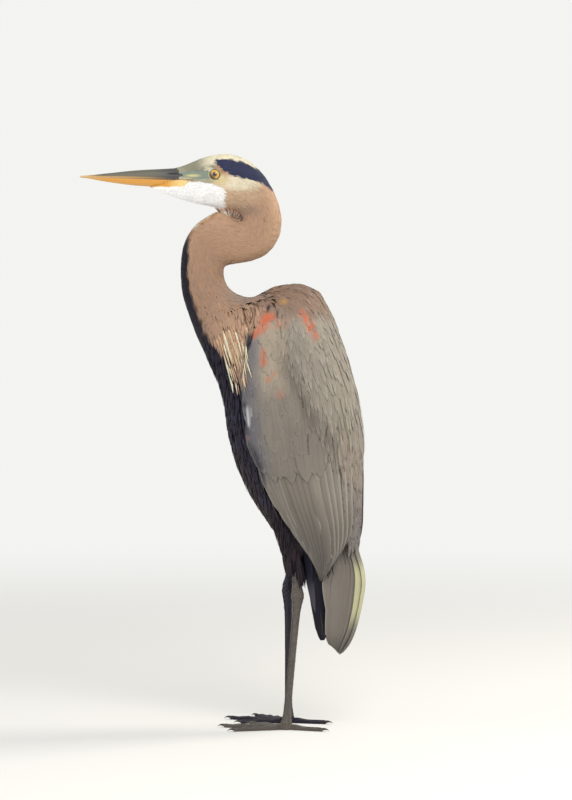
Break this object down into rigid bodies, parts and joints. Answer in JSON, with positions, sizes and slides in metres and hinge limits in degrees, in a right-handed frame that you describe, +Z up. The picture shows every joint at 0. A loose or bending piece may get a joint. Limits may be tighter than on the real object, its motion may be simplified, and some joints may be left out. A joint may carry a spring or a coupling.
{
  "type": "great blue heron",
  "caption": "Life-size great blue heron standing at rest with its neck folded and wings closed, as a still museum-type model.",
  "frame": {"origin": "centre of the model's box in plan, on the level its soles stand on", "axes": "+Z up; the trunk faces -Y; the bird's left side is +X; the head is turned a little to its left"},
  "size_m": [0.1678, 0.4072, 0.8328],
  "materials": {
    "head_feathers": "soft feathers, white face with a blue-black stripe",
    "neck_feathers": "short soft feathers, mauve-brown",
    "body_feathers": "soft feathers, blue-black with grey streaks",
    "wing_feathers": "close vaned feathers, slate grey",
    "flight_feathers": "stiff vanes, near black",
    "tail_feathers": "stiff vanes, slate grey",
    "thigh_feathers": "short soft feathers, dull rufous",
    "bill_upper_horn": "smooth horn, dusky slate",
    "bill_lower_horn": "smooth horn, orange-yellow",
    "eye": "wet and clear over a golden iris",
    "leg_scales": "dry scaled skin, grey-brown",
    "claw_horn": "smooth dark horn"
  },
  "bodies": {
    "root": {"head": "head_feathers", "bill_upper": "bill_upper_horn", "bill_lower": "bill_lower_horn", "eye_left": "eye", "eye_right": "eye", "neck_nape": "neck_feathers", "neck_loop": "neck_feathers", "neck_front": "neck_feathers", "neck_root": "neck_feathers", "trunk": "body_feathers", "mantle": "wing_feathers", "wing_coverts_left": "wing_feathers", "wing_coverts_right": "wing_feathers", "wing_scapulars_left": "wing_feathers", "wing_scapulars_right": "wing_feathers", "wing_secondaries_left": "wing_feathers", "wing_secondaries_right": "wing_feathers", "tail": "tail_feathers", "wing_primaries_left": "flight_feathers", "thigh_left": "thigh_feathers", "tarsus_left": "leg_scales", "shank_left": "leg_scales", "toe_middle_left": "leg_scales", "claw_middle_left": "claw_horn", "toe_outer_left": "leg_scales", "claw_outer_left": "claw_horn", "toe_inner_left": "leg_scales", "claw_inner_left": "claw_horn", "toe_hind_left": "leg_scales", "claw_hind_left": "claw_horn", "wing_primaries_right": "flight_feathers", "thigh_right": "thigh_feathers", "tarsus_right": "leg_scales", "shank_right": "leg_scales", "toe_middle_right": "leg_scales", "claw_middle_right": "claw_horn", "toe_outer_right": "leg_scales", "claw_outer_right": "claw_horn", "toe_inner_right": "leg_scales", "claw_inner_right": "claw_horn", "toe_hind_right": "leg_scales", "claw_hind_right": "claw_horn"}
  },
  "joints": []
}
